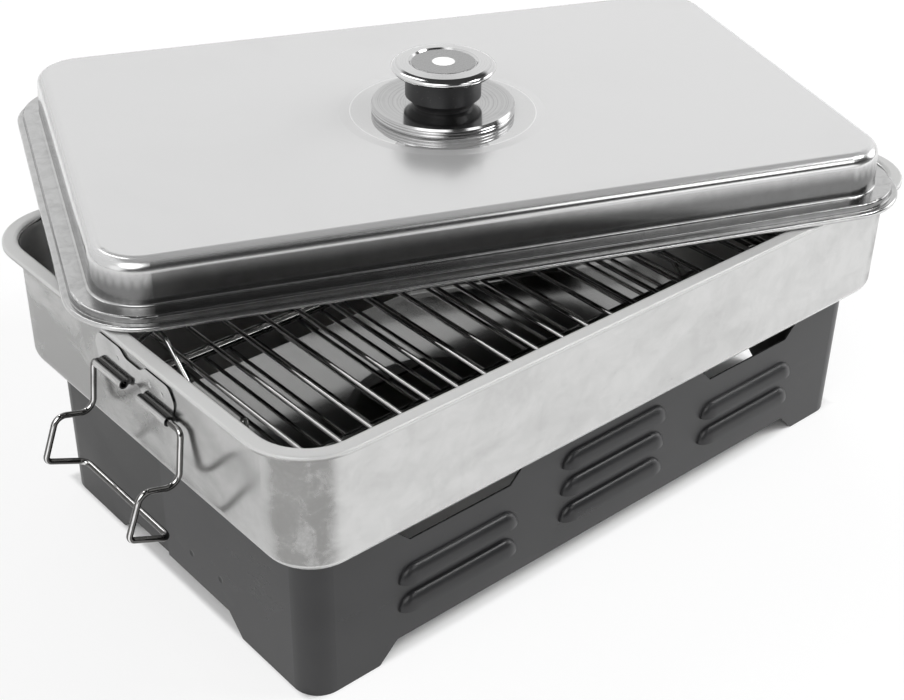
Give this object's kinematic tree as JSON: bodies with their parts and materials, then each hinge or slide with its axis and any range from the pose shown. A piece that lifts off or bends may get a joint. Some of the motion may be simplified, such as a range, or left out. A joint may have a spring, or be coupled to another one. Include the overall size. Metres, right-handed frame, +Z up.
{
  "type": "stovetop smoker box",
  "caption": "Steel smoker box: a drawn tray with a grid, a drip sheet and swinging wire handles, under a lift-off lid with a knob, on a louvred stand with spirit burners.",
  "frame": {"origin": "on the ground, under the middle of the box that bounds the whole object as it rests; the middle of the louvred stand is 14.5 mm to the left of it and 53.2 mm in front of it", "axes": "+Z up; +X along the box, to the right of someone who faces its front; +Y to the back"},
  "size_m": [0.5016, 0.3946, 0.2079],
  "materials": {
    "stand_paint": "black satin heat-proof paint on sheet steel",
    "tray_steel": "cloudy satin stainless steel sheet",
    "lid_steel": "mirror-polished stainless steel",
    "bright_steel": "bright stainless steel",
    "wire": "bright-plated round wire",
    "knob_moulding": "black phenolic moulding",
    "wick": "white mineral-fibre wad"
  },
  "bodies": {
    "stand": {"stand_front": "stand_paint", "stand_back": "stand_paint"},
    "tray": {"smoke_tray": "tray_steel", "handle_bracket_left": "bright_steel", "handle_bracket_right": "bright_steel"},
    "lid": {"lid_shell": "lid_steel", "knob_base": "lid_steel", "knob_neck": "knob_moulding", "knob_cap": "lid_steel", "knob_disc": "lid_steel", "knob_washer": "bright_steel", "knob_screw": "bright_steel"},
    "left_handle": {"handle_left": "wire"},
    "right_handle": {"handle_right": "wire"},
    "grid": {"grid_frame": "wire", "grid_wires": "wire", "grid_rail": "wire", "grid_leg_left": "wire", "grid_leg_right": "wire", "grid_loop_left": "wire", "grid_loop_right": "wire"},
    "drip_sheet": {"drip_tray": "tray_steel"},
    "left_burner": {"burner_cup_left": "tray_steel", "burner_core_left": "wick", "burner_gauze_left": "bright_steel", "burner_plate_left": "tray_steel", "burner_rivet_left": "tray_steel"},
    "left_shutter": {"burner_shutter_left": "tray_steel"},
    "right_burner": {"burner_cup_right": "tray_steel", "burner_core_right": "wick", "burner_gauze_right": "bright_steel", "burner_plate_right": "tray_steel", "burner_rivet_right": "tray_steel"},
    "right_shutter": {"burner_shutter_right": "tray_steel"}
  },
  "joints": [
    {"name": "tray_lift", "type": "slide", "parent": "stand", "child": "tray", "axis": [0, 0, 1], "range_m": [0, 0.15]},
    {"name": "lid_lift", "type": "slide", "parent": "tray", "child": "lid", "axis": [0, 0, 1], "range_m": [0, 0.15]},
    {"name": "grid_lift", "type": "slide", "parent": "tray", "child": "grid", "axis": [0, 0, 1], "range_m": [0, 0.008]},
    {"name": "drip_sheet_lift", "type": "slide", "parent": "tray", "child": "drip_sheet", "axis": [0, 0, 1], "range_m": [0, 0.03]},
    {"name": "left_handle_swing", "type": "hinge", "parent": "tray", "child": "left_handle", "pos_m": [-0.21913, -0.0564, 0.1206], "axis": [0, 1, 0], "range_deg": [-8, 110]},
    {"name": "right_handle_swing", "type": "hinge", "parent": "tray", "child": "right_handle", "pos_m": [0.19007, -0.0564, 0.1206], "axis": [0, -1, 0], "range_deg": [-8, 80]},
    {"name": "left_burner_lift", "type": "slide", "parent": "stand", "child": "left_burner", "axis": [0, 0, 1], "range_m": [0, 0.045]},
    {"name": "left_shutter_turn", "type": "hinge", "parent": "left_burner", "child": "left_shutter", "pos_m": [-0.10953, -0.0532, 0.033], "axis": [0, 0, 1], "range_deg": [0, 45]},
    {"name": "right_burner_lift", "type": "slide", "parent": "stand", "child": "right_burner", "axis": [0, 0, 1], "range_m": [0, 0.045]},
    {"name": "right_shutter_turn", "type": "hinge", "parent": "right_burner", "child": "right_shutter", "pos_m": [0.08047, -0.0532, 0.033], "axis": [0, 0, 1], "range_deg": [0, 45]}
  ]
}
